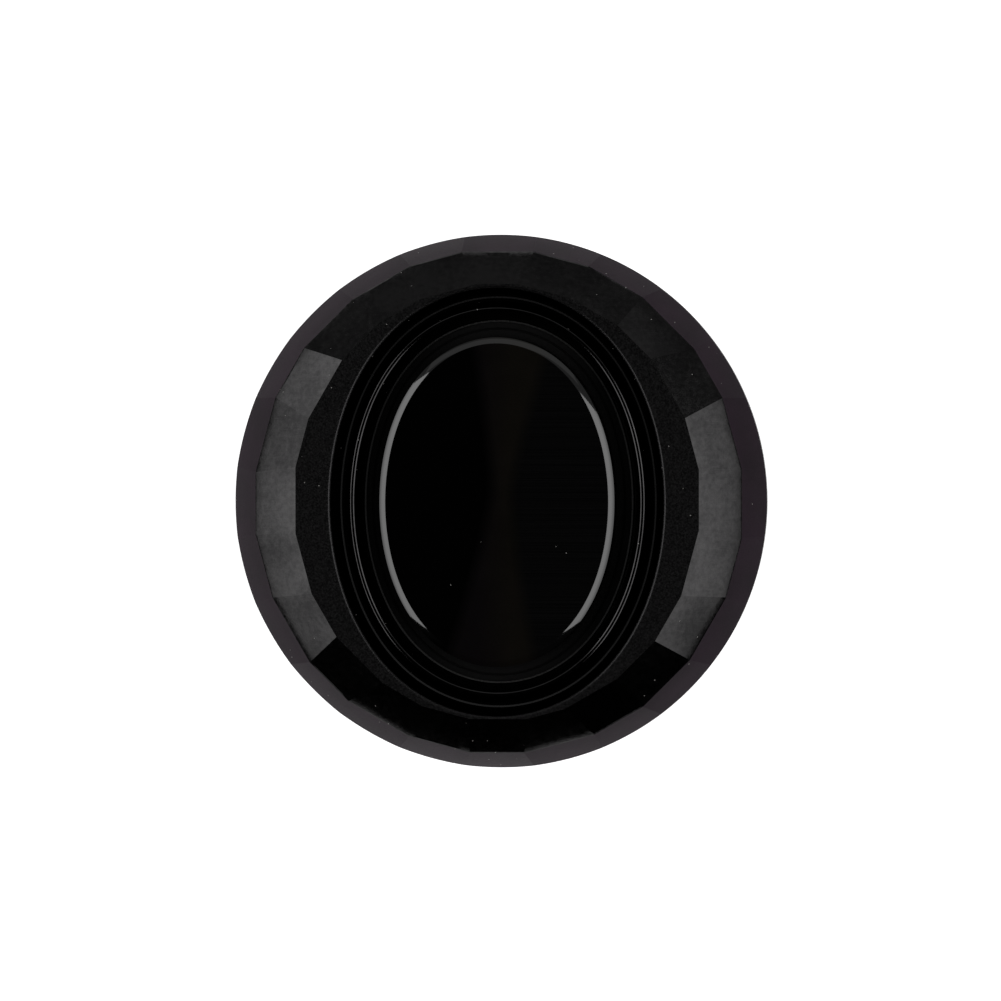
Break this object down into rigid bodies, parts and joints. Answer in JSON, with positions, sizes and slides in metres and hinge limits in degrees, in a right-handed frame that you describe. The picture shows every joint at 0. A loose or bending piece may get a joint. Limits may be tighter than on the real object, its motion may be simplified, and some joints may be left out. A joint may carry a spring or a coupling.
{
  "type": "sealed survey mini prism",
  "caption": "Round sealed survey mini prism: faceted black screw-on front cap with an oval window, a glass corner cube in a canister, and a threaded brass bushing in its flat back.",
  "frame": {"origin": "centre of the flat back, the surface it lies on", "axes": "+Z out of the front window along the optical axis, +Y along the window's long axis"},
  "size_m": [0.042, 0.042, 0.038],
  "materials": {
    "black_anodised": "black anodised; bead-blasted table, polished bevel flats, satin flanks",
    "black_glass": "polished near-black infrared-pass glass",
    "black_rubber": "matt black rubber",
    "white_acetal": "turned natural acetal",
    "grey_nylon": "moulded dark grey nylon",
    "optical_glass": "polished clear optical glass",
    "steel": "bright stainless steel",
    "brass": "turned brass"
  },
  "bodies": {
    "canister_body": {"cap_o_ring": "black_rubber", "canister": "black_anodised", "corner_cube": "optical_glass", "prism_ring": "black_anodised", "prism_gasket": "black_rubber", "prism_carrier": "grey_nylon", "prism_pad_1": "black_rubber", "prism_pad_2": "black_rubber", "prism_pad_3": "black_rubber", "carrier_spring": "steel", "back_plate": "black_anodised", "back_gasket": "black_rubber", "mount_bushing": "brass", "back_screw_1": "steel", "back_screw_2": "steel", "back_screw_3": "steel", "back_screw_4": "steel", "bushing_screw_1": "steel", "bushing_screw_2": "steel", "bushing_screw_3": "steel", "index_pin": "steel"},
    "slip_ring": {"slip_washer": "white_acetal"},
    "front_cap": {"front_cover": "black_anodised", "window_bezel": "black_anodised", "window": "black_glass", "window_seal": "black_rubber", "window_gasket": "black_rubber", "window_clamp": "black_anodised", "clamp_screw_1": "steel", "clamp_screw_2": "steel", "clamp_screw_3": "steel", "clamp_screw_4": "steel"}
  },
  "joints": [
    {"name": "cap_rise", "type": "slide", "parent": "canister_body", "child": "slip_ring", "axis": [0, 0, 1], "range_m": [0, 0.0033]},
    {"name": "cap_turn", "type": "hinge", "parent": "slip_ring", "child": "front_cap", "pos_m": [0, 0, 0.0108], "axis": [0, 0, 1], "range_deg": [0, 1170]}
  ],
  "couplings": [
    {"joint": "cap_rise", "follows": "cap_turn", "m_per_rad": 0.00015915}
  ]
}
